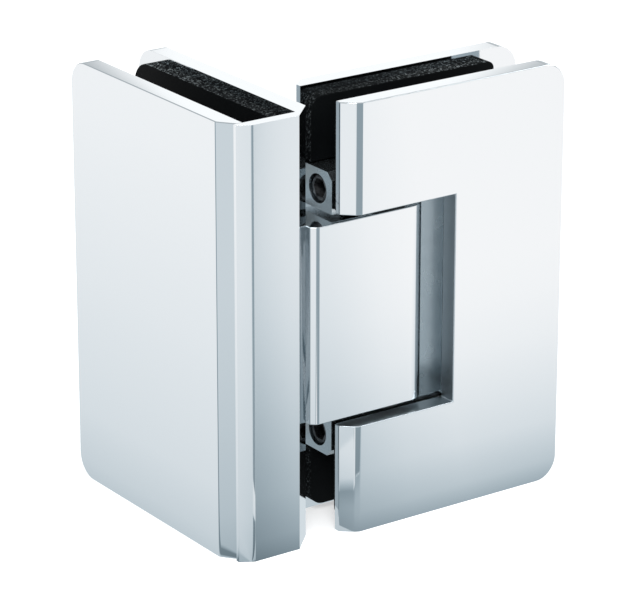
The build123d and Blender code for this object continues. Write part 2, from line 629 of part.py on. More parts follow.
door_seat_gasket = door_gasket(
    DOOR_BACK_SEAT, SEAT_GASKET, CARRIER_FAR + GASKET_FIT, LUG_TOP + GASKET_FIT
)
door_seat_gasket.label = "door_seat_gasket"
export_step(door_seat_gasket, "parts/door_seat_gasket.step")

# Nylon sleeves over the door's bosses.
with BuildPart() as door_boss_sleeves:
    with BuildSketch(DOOR_FRONT_SEAT):
        with Locations((DOOR_SCREW_X, 0)):
            with GridLocations(1, CLAMP_SCREW_SPACING, 1, 2):
                Circle(SLEEVE_RADIUS)
                Circle(BOSS_RADIUS + SLEEVE_FIT, mode=Mode.SUBTRACT)
    extrude(amount=SLOT - BOSS_GAP)
door_boss_sleeves.part.label = "door_boss_sleeves"
export_step(door_boss_sleeves.part, "parts/door_boss_sleeves.step")

# Two countersunk screws draw the door plates together.
door_clamp_screws = screw_pair(
    DOOR_BACK,
    CLAMP_SCREW_SPACING,
    lambda face: flat_head_screw(face, CLAMP_SCREW_RADIUS, CLAMP_HEAD_RADIUS, CLAMP_SCREW_LENGTH),
)
door_clamp_screws.label = "door_clamp_screws"
export_step(door_clamp_screws, "parts/door_clamp_screws.step")
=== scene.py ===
import math
import bpy
import bmesh
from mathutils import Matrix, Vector


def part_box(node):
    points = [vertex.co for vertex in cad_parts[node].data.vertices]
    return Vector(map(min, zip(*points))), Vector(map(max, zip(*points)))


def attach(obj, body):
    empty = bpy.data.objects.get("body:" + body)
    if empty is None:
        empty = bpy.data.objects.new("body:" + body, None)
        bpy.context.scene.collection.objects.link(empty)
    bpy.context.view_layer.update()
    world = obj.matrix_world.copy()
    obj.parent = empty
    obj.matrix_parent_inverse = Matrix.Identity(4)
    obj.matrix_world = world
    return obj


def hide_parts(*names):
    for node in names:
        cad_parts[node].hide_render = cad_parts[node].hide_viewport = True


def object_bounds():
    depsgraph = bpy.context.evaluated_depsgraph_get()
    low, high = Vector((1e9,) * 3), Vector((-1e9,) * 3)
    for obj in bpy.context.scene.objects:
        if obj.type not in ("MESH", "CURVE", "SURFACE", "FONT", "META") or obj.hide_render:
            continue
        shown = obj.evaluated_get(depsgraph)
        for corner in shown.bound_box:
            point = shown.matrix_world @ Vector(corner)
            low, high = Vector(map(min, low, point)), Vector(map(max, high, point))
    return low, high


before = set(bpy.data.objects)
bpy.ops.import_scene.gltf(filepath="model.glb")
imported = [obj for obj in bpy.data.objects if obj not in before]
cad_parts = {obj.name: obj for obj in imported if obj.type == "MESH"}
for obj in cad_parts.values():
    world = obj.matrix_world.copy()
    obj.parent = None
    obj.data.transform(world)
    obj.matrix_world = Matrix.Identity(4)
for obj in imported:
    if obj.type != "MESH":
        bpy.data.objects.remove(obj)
cad_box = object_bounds()

# Table, backdrop and lamps.  The hinge stands on a seamless pale table in a light tent.
# Polished metal sees a painted reflection of it: painted shade that darkens and cools it towards
# the hinge's foot, and a painted dark patch in front of the corner that draws the narrow lips of the
# bevels.
mm = 0.001
foot = cad_box[0].z
left_face, front_face = cad_box[0].x, cad_box[0].y
fixed_corner, door_corner = (-36.0 * mm, -9.5 * mm), (-12.2 * mm, -8.5 * mm)
fade_reach, strip_span, strip_skew = 160 * mm, 100 * mm, 0.701


class Wire:
    """An output socket of a node tree, with arithmetic that adds Math nodes."""

    def __init__(self, tree, socket=None):
        self.tree, self.socket = tree, socket

    def node(self, kind, settings=None, inputs=None, output=0):
        """Adds a node: its settings first, then the values or links of its sockets."""
        made = self.tree.nodes.new(kind)
        for key, value in (settings or {}).items():
            if key == "stops":
                ramp = made.color_ramp.elements
                while len(ramp) < len(value):
                    ramp.new(1.0)
                for stop, (place, shade) in zip(ramp, value):
                    stop.position, stop.color = place, (shade, shade, shade, 1)
            else:
                setattr(made, key, value)
        for key, value in (inputs or {}).items():
            if isinstance(value, Wire):
                self.tree.links.new(value.socket, made.inputs[key])
            else:
                made.inputs[key].default_value = value
        return Wire(self.tree, made.outputs[output] if len(made.outputs) else None)

    def also(self, output):
        """Another output of the same node."""
        return Wire(self.tree, self.socket.node.outputs[output])

    def ramp(self, stops):
        """Turns a value from 0 to 1 into a shade along the stops."""
        return self.node("ShaderNodeValToRGB", {"stops": stops}, {"Fac": self})

    def between(self, start, end, low=0.0, high=1.0):
        """A soft step from low to high as the value goes from start to end."""
        return self.node("ShaderNodeMapRange", {"interpolation_type": "SMOOTHSTEP"},
                         {"Value": self, "From Min": start, "From Max": end, "To Min": low, "To Max": high})

    def tint(self, first, second):
        """Mixes two colours by this value."""
        colours = {"Factor": self, 6: first, 7: second}
        return self.node("ShaderNodeMix", {"data_type": "RGBA"}, colours, output=2)

    def math(self, operation, first, second=0.0):
        return self.node("ShaderNodeMath", {"operation": operation}, {0: first, 1: second})

    def __add__(self, other):
        return self.math("ADD", self, other)

    def __sub__(self, other):
        return self.math("SUBTRACT", self, other)

    def __rsub__(self, other):
        return self.math("SUBTRACT", other, self)

    def __mul__(self, other):
        return self.math("MULTIPLY", self, other)

    def __truediv__(self, other):
        return self.math("DIVIDE", self, other)

    __radd__, __rmul__ = __add__, __mul__


def new_material(name):
    """A material with an empty tree, and the wire that its nodes start from."""
    material = bpy.data.materials.new(name)
    material.use_nodes = True
    material.node_tree.nodes.clear()
    return material, Wire(material.node_tree)


bpy.ops.object.select_all(action="DESELECT")
bpy.ops.mesh.primitive_circle_add(vertices=96, radius=3, fill_type="NGON", location=(0, 0, foot))
table = bpy.context.object
table.name = "table"

cloth, wire = new_material("table_cloth")
path = wire.node("ShaderNodeLightPath", output="Is Camera Ray")
place = wire.node("ShaderNodeTexCoord", None, None, "Object")
across = wire.node("ShaderNodeSeparateXYZ", None, {"Vector": place})
along_x, along_y = across, across.also("Y")
in_front = front_face - along_y
at_left = left_face - along_x
away = wire.math("MAXIMUM", wire.math("MAXIMUM", in_front, at_left), 0.0) / fade_reach
# How far round each corner a spot lies, in turns.
round_fixed, round_door = (
    wire.math("ARCTAN2", corner[1] - along_y, corner[0] - along_x) / (2 * math.pi) + 0.5
    for corner in (fixed_corner, door_corner))
strip = (along_x + strip_skew * along_y) / strip_span + 0.05 * away + 0.6

# Painted shade in front of the hinge, darkest at its foot and leaning darker along the strips that the
# door's bevel sees.
front_glow = away.ramp([
    (0.0, 0.45), (0.05, 0.62), (0.16, 0.79), (0.27, 0.86), (0.42, 0.94), (0.58, 0.985), (0.72, 1.0),
    (1.0, 1.0)])
past_bevel = round_door.between(227 / 360, 225.5 / 360)
door_bevel_view = round_door.between(214.5 / 360, 216.5 / 360) * past_bevel
slope = [(0.172, 0.6), (0.2, 0.635), (0.28, 0.75), (0.43, 0.82), (0.57, 0.94), (0.7, 1.0)]
lean = door_bevel_view.tint(strip.ramp([(0.168, 1.0), *slope]), strip.ramp([(0.09, 1.0), *slope]))
front_glow = front_glow * (1 - (1 - lean) * away.between(0.0, 1.1, 1.3, 0.6))
# Painted dark patches in front of the return lip and the door lip, so that their reflections show as dark
# lines.
return_painted_patch = round_fixed.between(259 / 360, 257.5 / 360) * (1 - door_bevel_view)
door_painted_patch = round_door.between(248.5 / 360, 250.5 / 360)
painted_dark_patch = wire.math("MAXIMUM", return_painted_patch, door_painted_patch) * strip.between(0.17, 0.16)
front_glow = front_glow * (1 - 0.64 * painted_dark_patch)

# Painted shade beside the hinge, darkest at its foot and changing with the bearing round the fixed corner.
side_glow = away.ramp([
    (0.0, 0.62), (0.03, 0.68), (0.12, 0.77), (0.2, 0.8), (0.4, 0.86), (0.6, 0.9), (0.85, 0.94),
    (1.0, 0.95)])
side_glow = side_glow * round_fixed.ramp([
    (0.0, 1.0), (0.36, 1.0), (0.385, 0.35), (0.43, 0.35), (0.455, 0.74), (0.585, 0.74), (0.6, 0.85),
    (0.615, 0.95), (0.65, 0.95), (0.68, 0.87)])
glow = round_fixed.between(248 / 360, 251 / 360).tint(side_glow, front_glow)
# The painted shade turns cooler as it darkens.
hue = glow.tint((1.08, 1.473, 1.69, 1), (1.545, 1.473, 1.442, 1))
multiply = {"data_type": "RGBA", "blend_type": "MULTIPLY"}
shade = wire.node("ShaderNodeMix", multiply, {"Factor": 1.0, 6: hue, 7: glow}, output=2)
seen = wire.node("ShaderNodeEmission", None, {"Color": shade, "Strength": 1.0})
lit = wire.node("ShaderNodeBsdfDiffuse", None, {"Color": (0.8, 0.8, 0.8, 1)})
white = wire.node("ShaderNodeEmission", None, {"Color": (1, 1, 1, 1), "Strength": 0.5})
shown = wire.node("ShaderNodeAddShader", None, {0: lit, 1: white})
# Camera rays see the lit table brightened evenly, and glossy rays see only the painted reflection.
plain = wire.node("ShaderNodeMixShader", None, {0: path, 1: lit, 2: shown})
mixed = wire.node("ShaderNodeMixShader", None, {0: path.also("Is Glossy Ray"), 1: plain, 2: seen})
wire.node("ShaderNodeOutputMaterial", None, {"Surface": mixed})
table.data.materials.append(cloth)

world = bpy.data.worlds.new("light_tent")
world.use_nodes = True
world.node_tree.nodes.clear()
bpy.context.scene.world = world
wire = Wire(world.node_tree)
path = wire.node("ShaderNodeLightPath", output="Is Camera Ray")
heading = wire.node("ShaderNodeSeparateXYZ", None, {"Vector": wire.node("ShaderNodeTexCoord")})
# Glossy rays see a painted reflection of the tent: a bright narrow band painted at the camera's bearing and
# the rest dimmed, while other rays see the plain tent and the camera the white backdrop.
bright_heading, bright_half, dim_half = math.radians(55), math.radians(2.2), math.radians(4.5)
turned = wire.math("ABSOLUTE", wire.math("ARCTAN2", heading.also("Y"), heading) - bright_heading)
wings = turned.between(bright_half, dim_half).tint((1.45, 1.43, 1.42, 1), (0.66, 0.69, 0.71, 1))
tent = wire.node("ShaderNodeBackground", None, {"Color": (0.95, 0.98, 1, 1), "Strength": 0.75})
mirrored = wire.node("ShaderNodeBackground", None, {"Color": wings, "Strength": 1.0})
backdrop = wire.node("ShaderNodeBackground", None, {"Color": (1, 1, 1, 1), "Strength": 1.0})
behind = wire.node("ShaderNodeMixShader", None, {0: path.also("Is Glossy Ray"), 1: tent, 2: mirrored})
sky = wire.node("ShaderNodeMixShader", None, {0: path, 1: behind, 2: backdrop})
wire.node("ShaderNodeOutputWorld", None, {"Surface": sky})

for name, spot, size, power in (
    ("key_panel", (-0.5, -0.7, 0.8), 0.5, 7.0),
    ("side_panel", (0.8, -0.4, 0.6), 0.5, 4.0),
):
    lamp = bpy.data.lights.new(name, "AREA")
    lamp.shape, lamp.size, lamp.energy = "SQUARE", size, power
    holder = bpy.data.objects.new(name, lamp)
    holder.location = spot
    holder.rotation_euler = (Vector((0, 0, 0)) - Vector(spot)).to_track_quat("-Z", "Y").to_euler()
    bpy.context.scene.collection.objects.link(holder)

# Camera.  A long lens, above and to the left of the corner.
eye = Vector((-387.99, -533.94, 241.58)) * mm
bearing, pitch, roll = math.radians(54.93), math.radians(20.21), math.radians(-0.07)
lens = bpy.data.cameras.new("camera")
lens.sensor_width = 36.0
lens.lens = 197.07
lens.clip_start = 0.01
camera = bpy.data.objects.new("camera", lens)
camera.location = eye
camera.rotation_euler = (math.pi / 2 - pitch, roll, bearing - math.pi / 2)
bpy.context.scene.collection.objects.link(camera)
bpy.context.scene.camera = camera
bpy.context.scene.view_settings.view_transform = "Standard"

# Outer plate of the fixed clamp: forged brass, bevelled towards the corner, with two bosses
# that reach through the glass and are tapped for the clamp screws.  It is buffed, which
# rounds every arris a little, and chrome-plated to a mirror.
plate = 4.0 * mm
corner_radius = 5.0 * mm
bevel_width, bevel_depth = 3.5 * mm, 2.65 * mm
boss_radius = 4.5 * mm
tap_radius, tap_depth = 2.53 * mm, 10.0 * mm
arris = 0.2 * mm
hair = 0.01 * mm

polished_chrome, wire = new_material("polished_chrome")
place = wire.node("ShaderNodeTexCoord", None, None, "Object")
haze = wire.node("ShaderNodeTexNoise", None, {"Vector": place, "Scale": 55.0, "Detail": 4.0})
grain = wire.node("ShaderNodeTexNoise", None, {"Vector": place, "Scale": 900.0, "Detail": 3.0})
ripple = wire.node("ShaderNodeBump", None, {
    "Strength": 0.02, "Distance": 0.0004, "Height": haze + 0.1 * grain})
plating = wire.node("ShaderNodeBsdfPrincipled", None, {
    "Base Color": (0.58, 0.62, 0.645, 1), "Metallic": 1.0,
    "Roughness": 0.04 + 0.03 * haze, "Normal": ripple})
wire.node("ShaderNodeOutputMaterial", None, {"Surface": plating})


def stock(name, low, high):
    """A solid block between two corners, from which a piece is cut."""
    bpy.ops.object.select_all(action="DESELECT")
    bpy.ops.mesh.primitive_cube_add(size=1, location=(Vector(low) + Vector(high)) / 2)
    piece = bpy.context.object
    piece.name = piece.data.name = name
    piece.scale = Vector(high) - Vector(low)
    bpy.ops.object.transform_apply(location=True, rotation=True, scale=True)
    return piece


def shave(piece, point, normal):
    """Cuts off what lies beyond a plane and closes the cut."""
    bpy.ops.object.select_all(action="DESELECT")
    bpy.context.view_layer.objects.active = piece
    bpy.ops.object.mode_set(mode="EDIT")
    bpy.ops.mesh.select_all(action="SELECT")
    heading = Vector(normal).normalized()
    bpy.ops.mesh.bisect(plane_co=point, plane_no=heading, use_fill=True, clear_outer=True, threshold=1e-7)
    bpy.ops.object.mode_set(mode="OBJECT")


def round_edges(piece, axis, wanted, radius, segments):
    """Rounds the edges that run along an axis and whose middle passes a test."""
    bpy.ops.object.select_all(action="DESELECT")
    bpy.context.view_layer.objects.active = piece
    bpy.ops.object.mode_set(mode="EDIT")
    bpy.ops.mesh.select_mode(type="EDGE")
    bpy.ops.mesh.select_all(action="DESELECT")
    net = bmesh.from_edit_mesh(piece.data)
    for edge in net.edges:
        start, end = (corner.co for corner in edge.verts)
        if abs((end - start).normalized()["XYZ".index(axis)]) > 0.999 and wanted((start + end) / 2):
            edge.select_set(True)
    bmesh.update_edit_mesh(piece.data)
    bpy.ops.mesh.bevel(offset=radius, segments=segments, affect="EDGES")
    bpy.ops.object.mode_set(mode="OBJECT")


def rod(mouth, heading, radius, length, end_radius=None, sides=48):
    """A round bar or cone that starts at its mouth and runs along its heading."""
    heading = Vector(heading)
    bpy.ops.object.select_all(action="DESELECT")
    bpy.ops.mesh.primitive_cone_add(
        vertices=sides, radius1=radius, radius2=radius if end_radius is None else end_radius, depth=length,
        location=Vector(mouth) + heading * length / 2, rotation=heading.to_track_quat("Z", "Y").to_euler())
    bpy.ops.object.transform_apply(location=True, rotation=True, scale=True)
    return bpy.context.object


def combine(piece, tool, operation="DIFFERENCE"):
    """Cuts the tool out of a piece, or welds it on, and clears the tool away."""
    boolean = piece.modifiers.new("boolean", "BOOLEAN")
    boolean.operation, boolean.object, boolean.solver = operation, tool, "EXACT"
    bpy.ops.object.select_all(action="DESELECT")
    bpy.context.view_layer.objects.active = piece
    bpy.ops.object.modifier_apply(modifier=boolean.name)
    bpy.data.objects.remove(tool)


def buff(piece, radius, segments=3, crisp=None):
    """Rounds every arris as buffing does, and keeps the flats flat and the crisp edge sharp."""
    bpy.ops.object.select_all(action="DESELECT")
    bpy.context.view_layer.objects.active = piece
    piece.select_set(True)
    bpy.ops.object.mode_set(mode="EDIT")
    bpy.ops.mesh.select_all(action="SELECT")
    bpy.ops.mesh.remove_doubles(threshold=1e-7)
    bpy.ops.mesh.dissolve_limited(angle_limit=math.radians(0.5))
    net = bmesh.from_edit_mesh(piece.data)
    for edge in net.edges:
        middle = (edge.verts[0].co + edge.verts[1].co) / 2
        if crisp and (middle.xy - Vector(crisp)).length < hair:
            edge.smooth = False
    bmesh.update_edit_mesh(piece.data)
    bpy.ops.object.mode_set(mode="OBJECT")
    rounding = piece.modifiers.new("arris", "BEVEL")
    rounding.width, rounding.segments = radius, segments
    rounding.limit_method, rounding.angle_limit = "ANGLE", math.radians(12)
    bpy.ops.object.shade_smooth()
    evening = piece.modifiers.new("flats", "WEIGHTED_NORMAL")
    evening.weight, evening.thresh, evening.keep_sharp = 100, 0.1, True
    bpy.ops.object.modifier_apply(modifier=rounding.name)
    bpy.ops.object.modifier_apply(modifier=evening.name)


def finish_piece(piece, material, body, node):
    """Gives a finished piece its material and its place in the frame."""
    piece.data.materials.clear()
    piece.data.materials.append(material)
    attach(piece, body)
    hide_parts(node)


def clamp_plate(name, length, lip_width, lip_depth):
    """A plate that runs along +X from its bevelled end, with its inner face on y = 0."""
    piece = stock(name, (0, 0, foot), (length, plate, -foot))
    end_depth, lip_end = plate - bevel_depth, bevel_width - lip_width
    shave(piece, (0, end_depth, 0), (end_depth - (plate - lip_depth), lip_end, 0))
    shave(piece, (bevel_width, plate, 0), (-lip_depth, lip_width, 0))
    round_edges(piece, "Y", lambda at: at.x > length - hair, corner_radius, 12)
    return piece


def lay(piece, spot, turn):
    """Turns a piece about the origin and moves it to its spot."""
    piece.rotation_euler, piece.location = turn, spot
    bpy.ops.object.select_all(action="DESELECT")
    bpy.context.view_layer.objects.active = piece
    piece.select_set(True)
    bpy.ops.object.transform_apply(location=True, rotation=True, scale=True)


plate_low, plate_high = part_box("fixed_outer_plate")
sleeve_low, sleeve_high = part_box("fixed_boss_sleeves")
boss_y = (sleeve_low.y + sleeve_high.y) / 2
boss_z = sleeve_high.z - (sleeve_high.y - sleeve_low.y) / 2
fixed_lip, fixed_lip_depth = 0.4 * mm, 0.2 * mm
fixed_plate = clamp_plate("fixed_plate", plate_high.y - plate_low.y, fixed_lip, fixed_lip_depth)
lay(fixed_plate, (plate_low.x + plate, plate_low.y, 0), (0, 0, math.pi / 2))
for z in (-boss_z, boss_z):
    boss_root = Vector((plate_low.x + plate / 2, boss_y, z))
    combine(fixed_plate, rod(boss_root, (1, 0, 0), boss_radius, plate_high.x - boss_root.x), "UNION")
    combine(fixed_plate, rod((plate_high.x + mm, boss_y, z), (-1, 0, 0), tap_radius, tap_depth))
buff(fixed_plate, arris, crisp=(plate_low.x + fixed_lip_depth, plate_low.y + bevel_width - fixed_lip))
finish_piece(fixed_plate, polished_chrome, "fixed_clamp", "fixed_outer_plate")

# Body of the fixed clamp: one L-shaped brass casting, whose thin end wall closes the slot
# behind the outer plate's bevel.  Its swing corner is milled off at 45 degrees to clear
# the turning door, and it is countersunk from both sides for its screws.
body_low, body_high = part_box("fixed_body")
end_wall = 2.5 * mm
swing_chamfer = 4.8 * mm
return_bevel, return_depth = 2.85 * mm, 1.6 * mm
return_lip, return_lip_depth = 0.65 * mm, 0.3 * mm
head_radius, clearance_radius = 5.1 * mm, 2.75 * mm


def countersink(piece, mouth, heading, depth, wide, narrow):
    """A through hole with a 90-degree countersink at its mouth."""
    heading, spare = Vector(heading), 0.3 * mm
    start = Vector(mouth) - heading * spare
    combine(piece, rod(start, heading, wide + spare, wide - narrow + spare, narrow))
    combine(piece, rod(start, heading, narrow, depth + 2 * spare))


back_plate_x = body_high.x - plate
fixed_shell = stock("fixed_shell", (back_plate_x, body_low.y, foot), (body_high.x, body_high.y, -foot))
wall = stock("wall", body_low, (back_plate_x + plate / 2, body_low.y + end_wall, -foot))
round_edges(fixed_shell, "X", lambda at: at.y > body_high.y - hair, corner_radius, 12)
combine(fixed_shell, wall, "UNION")
bevel_end = Vector((body_low.x, body_low.y + return_depth, 0))
lip_start = Vector((body_low.x + return_bevel - return_lip, body_low.y + return_lip_depth, 0))
lip_end = Vector((body_low.x + return_bevel, body_low.y, 0))
shave(fixed_shell, bevel_end, (lip_start.y - bevel_end.y, bevel_end.x - lip_start.x, 0))
shave(fixed_shell, lip_end, (lip_end.y - lip_start.y, lip_start.x - lip_end.x, 0))
shave(fixed_shell, (body_high.x, body_low.y + swing_chamfer, 0), (1, -1, 0))
screw_low, screw_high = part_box("block_screws")
block_screw_z = (screw_high.z - screw_low.z) / 2 - (screw_high.y - screw_low.y) / 2
for side in (-1, 1):
    clamp_mouth, block_mouth = (body_high.x, boss_y, side * boss_z), (back_plate_x, 0, side * block_screw_z)
    countersink(fixed_shell, clamp_mouth, (-1, 0, 0), plate, head_radius, clearance_radius)
    countersink(fixed_shell, block_mouth, (1, 0, 0), plate, head_radius, clearance_radius)
buff(fixed_shell, arris, crisp=lip_start.xy)
finish_piece(fixed_shell, polished_chrome, "fixed_clamp", "fixed_body")

# Gaskets of the fixed clamp: black rubber sheet, thin behind the outer plate and thick on
# the body.  They are stamped out, so their cut edges are rough and torn to grey specks,
# while their faces keep the calender's even dull skin.
sleeve_hole = 5.9 * mm
near_radius, far_radius = 3.0 * mm, 5.0 * mm
rubber_arris = 0.12 * mm


def cut_rubber(name, thickness_axis, run_axis, start, end, faint, strong):
    """Black sheet rubber: dull skin across its thickness, and torn edges greyer along the run."""
    material, wire = new_material(name)
    coordinates = wire.node("ShaderNodeTexCoord", None, None, "Object")
    normal = coordinates.also("Normal")
    facing = wire.node("ShaderNodeSeparateXYZ", None, {"Vector": normal}, thickness_axis)
    edge = 1 - wire.math("ABSOLUTE", facing).between(0.3, 0.8)
    along = wire.node("ShaderNodeSeparateXYZ", None, {"Vector": coordinates}, run_axis)
    run = along.between(start, end, faint, strong)
    dust = wire.node("ShaderNodeTexNoise", None, {"Vector": coordinates, "Scale": 140.0, "Detail": 5.0})
    crumbs = wire.node("ShaderNodeTexVoronoi", None, {"Vector": coordinates, "Scale": 2700.0}, "Distance")
    chance = wire.node("ShaderNodeSeparateColor", None, {"Color": crumbs.also("Color")}, "Red")
    torn = wire.node("ShaderNodeTexNoise", None, {
        "Vector": coordinates, "Scale": 900.0, "Detail": 4.0, "Roughness": 0.7})
    specks = chance.between(0.2, 0.85) * crumbs.between(0.7, 0.3) * torn.between(0.38, 0.6) * edge * run
    skin = dust.tint((0.001, 0.0015, 0.002, 1), (0.004, 0.005, 0.0055, 1))
    colour = specks.tint(skin, (0.34, 0.38, 0.39, 1))
    height = edge * (torn + crumbs) + 0.05 * dust
    bump = wire.node("ShaderNodeBump", None, {"Strength": 0.5, "Distance": 0.0003, "Height": height})
    rubber = wire.node("ShaderNodeBsdfPrincipled", None, {
        "Base Color": colour, "Roughness": 0.6 + 0.25 * edge + 0.1 * dust, "Specular IOR Level": 0.06,
        "Normal": bump})
    wire.node("ShaderNodeOutputMaterial", None, {"Surface": rubber})
    return material


fixed_rubber = cut_rubber(
    "fixed_gasket_rubber", "X", run_axis="Y", start=5 * mm, end=38 * mm, faint=0.35, strong=1.0)
for node, name in (("fixed_face_gasket", "thin_sheet"), ("fixed_seat_gasket", "thick_sheet")):
    low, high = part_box(node)
    sheet = stock(name, low, high)
    round_edges(sheet, "X", lambda at: at.y > high.y - hair, far_radius, 10)
    round_edges(sheet, "X", lambda at: at.y < low.y + hair, near_radius, 8)
    for z in (-boss_z, boss_z):
        combine(sheet, rod((low.x - mm, boss_y, z), (1, 0, 0), sleeve_hole, high.x - low.x + 2 * mm))
    buff(sheet, rubber_arris, 2)
    finish_piece(sheet, fixed_rubber, "fixed_clamp", node)

# Sleeves on the bosses and the two clamp screws.  The sleeves are natural nylon, turned
# from tube.  The screws are steel, turned on a lathe, and their tool marks run round the head.
nylon, wire = new_material("natural_nylon")
place = wire.node("ShaderNodeTexCoord", None, None, "Object")
cloud = wire.node("ShaderNodeTexNoise", None, {"Vector": place, "Scale": 260.0, "Detail": 4.0})
lines = wire.node("ShaderNodeBump", None, {"Strength": 0.15, "Distance": 0.0002, "Height": cloud})
tube = wire.node("ShaderNodeBsdfPrincipled", None, {
    "Base Color": cloud.tint((0.62, 0.61, 0.56, 1), (0.74, 0.73, 0.69, 1)), "Roughness": 0.4 + 0.15 * cloud,
    "Normal": lines})
wire.node("ShaderNodeOutputMaterial", None, {"Surface": tube})


def turned_steel(name, flat_axes, centre, shade):
    """Steel with the lathe's rings round two like axes, mirrored about z = 0 where z is a flat axis."""
    material, wire = new_material(name)
    coordinates = wire.node("ShaderNodeTexCoord", None, None, "Object")
    parts = wire.node("ShaderNodeSeparateXYZ", None, {"Vector": coordinates})
    first = parts.also(flat_axes[0]) - centre[0]
    second = wire.math("ABSOLUTE", parts.also(flat_axes[1])) - centre[1]
    radius = wire.math("SQRT", first * first + second * second)
    wander = wire.node("ShaderNodeTexNoise", None, {"Vector": coordinates, "Scale": 600.0, "Detail": 3.0})
    rings = wire.math("SINE", radius / (0.035 * mm) + 2.5 * wander) * 0.5 + 0.5
    worn = wire.node("ShaderNodeTexNoise", None, {"Vector": coordinates, "Scale": 180.0, "Detail": 5.0})
    dark, light = tuple(0.75 * part for part in shade), shade
    bump = wire.node("ShaderNodeBump", None, {"Strength": 0.12, "Distance": 0.00005, "Height": rings})
    metal = wire.node("ShaderNodeBsdfPrincipled", None, {
        "Base Color": (0.6 * worn + 0.4 * rings).tint((*dark, 1), (*light, 1)), "Metallic": 1.0,
        "Roughness": 0.24 + 0.16 * worn + 0.06 * rings, "Normal": bump})
    wire.node("ShaderNodeOutputMaterial", None, {"Surface": metal})
    return material


def dress(node, material):
    """Gives a CAD node that stays in view its finish."""
    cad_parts[node].data.materials.clear()
    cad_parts[node].data.materials.append(material)


bright_steel = (0.62, 0.62, 0.61)
dress("fixed_boss_sleeves", nylon)
dress("fixed_clamp_screws", turned_steel("fixed_screw_steel", "YZ", (boss_y, boss_z), bright_steel))
dress("block_screws", turned_steel("block_screw_steel", "YZ", (0.0, block_screw_z), bright_steel))

# Pivot block: solid brass bolted to the fixed body, with a narrow bevel at its seated end and
# a rounded nose.  One long bore takes the pin, with a counterbore for a bush at each end, and
# the plungers and screws go in from the seat.  It is plated like the clamps.
block_low, block_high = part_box("pivot_block")
bush_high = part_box("upper_bush")[1]
nose_radius = 5.0 * mm
block_bevel, block_bevel_depth = 1.5 * mm, 1.0 * mm
block_lip, block_lip_depth = 0.5 * mm, 0.2 * mm
pin_relief = 3.8 * mm
flange_width, flange_depth, bush_depth = 1.5 * mm, 0.8 * mm, 8.0 * mm
fit, plunger_fit = 0.02 * mm, 0.05 * mm
block = stock("block", block_low, block_high)
for side in (-1, 1):
    face, heel = side * block_high.y, side * (block_high.y - block_bevel_depth)
    shoulder = side * (block_high.y - block_lip_depth)
    reach = block_low.x + block_bevel - block_lip
    shave(block, (block_low.x, heel, 0), (-abs(shoulder - heel), side * (reach - block_low.x), 0))
    shave(block, (block_low.x + block_bevel, face, 0), (-block_lip_depth, side * block_lip, 0))
round_edges(block, "Z", lambda at: at.x > block_high.x - hair, nose_radius, 14)
combine(block, rod((0, 0, block_low.z - mm), (0, 0, 1), pin_relief, block_high.z - block_low.z + 2 * mm))
flange_radius = bush_high.x + fit
bush_radius = flange_radius - flange_width
for side in (-1, 1):
    mouth = (0, 0, side * (block_high.z + mm))
    combine(block, rod(mouth, (0, 0, -side), bush_radius, mm + bush_depth))
    combine(block, rod(mouth, (0, 0, -side), flange_radius, mm + flange_depth))
buff(block, arris)

plunger_low, plunger_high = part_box("upper_plunger")
plunger_z = (plunger_low.z + plunger_high.z) / 2
adjuster_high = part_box("spring_adjusters")[1]
bores = (
    (plunger_z, plunger_high.y + plunger_fit, -block_low.x),
    (plunger_z, adjuster_high.y + fit, adjuster_high.x - block_low.x),
    (block_screw_z, tap_radius, screw_high.x - block_low.x + 0.5 * mm),
)
for side in (-1, 1):
    for z, radius, depth in bores:
        combine(block, rod((block_low.x - mm, 0, side * z), (1, 0, 0), radius, depth + mm))
finish_piece(block, polished_chrome, "fixed_clamp", "pivot_block")

# Bushes, plungers, springs and adjusters.  The bushes are black acetal, and the plungers,
# their springs and the socket screws behind them are steel, all closed in by the block.
acetal, wire = new_material("black_acetal")
place = wire.node("ShaderNodeTexCoord", None, None, "Object")
cloud = wire.node("ShaderNodeTexNoise", None, {"Vector": place, "Scale": 420.0, "Detail": 4.0})
lines = wire.node("ShaderNodeBump", None, {"Strength": 0.15, "Distance": 0.0001, "Height": cloud})
ring = wire.node("ShaderNodeBsdfPrincipled", None, {
    "Base Color": cloud.tint((0.012, 0.013, 0.014, 1), (0.035, 0.037, 0.038, 1)),
    "Roughness": 0.35 + 0.2 * cloud, "Normal": lines})
wire.node("ShaderNodeOutputMaterial", None, {"Surface": ring})

plunger_steel = turned_steel("plunger_steel", "YZ", (0.0, plunger_z), bright_steel)
wire_steel = turned_steel("spring_steel", "YZ", (0.0, plunger_z), (0.42, 0.42, 0.43))
for node, material in (
    ("upper_bush", acetal), ("lower_bush", acetal),
    ("upper_plunger", plunger_steel), ("lower_plunger", plunger_steel),
    ("upper_spring", wire_steel), ("lower_spring", wire_steel), ("spring_adjusters", plunger_steel),
):
    dress(node, material)

# Front and back plates of the door clamp: two forged brass Cs round the pivot block, bevelled
# towards the corner, their sawn notch faces duller.  The front one carries the tapped bosses,
# and the back one is countersunk for the clamp screws and the carrier's two screws.
notch_half = 22.1 * mm
notch_end = 12.9 * mm
door_lip, door_lip_depth = 1.1 * mm, 0.5 * mm
carrier_head_radius, carrier_clearance = 4.2 * mm, 2.25 * mm
dull_edge, bright_edge = 0.1 * mm, 0.3 * mm
front_low, front_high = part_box("door_front_plate")
back_low, back_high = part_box("door_back_plate")
door_sleeve_low, door_sleeve_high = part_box("door_boss_sleeves")
door_boss_x = (door_sleeve_low.x + door_sleeve_high.x) / 2
carrier_screw_low, carrier_screw_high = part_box("carrier_screws")
carrier_screw_x = (carrier_screw_low.x + carrier_screw_high.x) / 2
carrier_screw_z = carrier_screw_high.z - (carrier_screw_high.x - carrier_screw_low.x) / 2

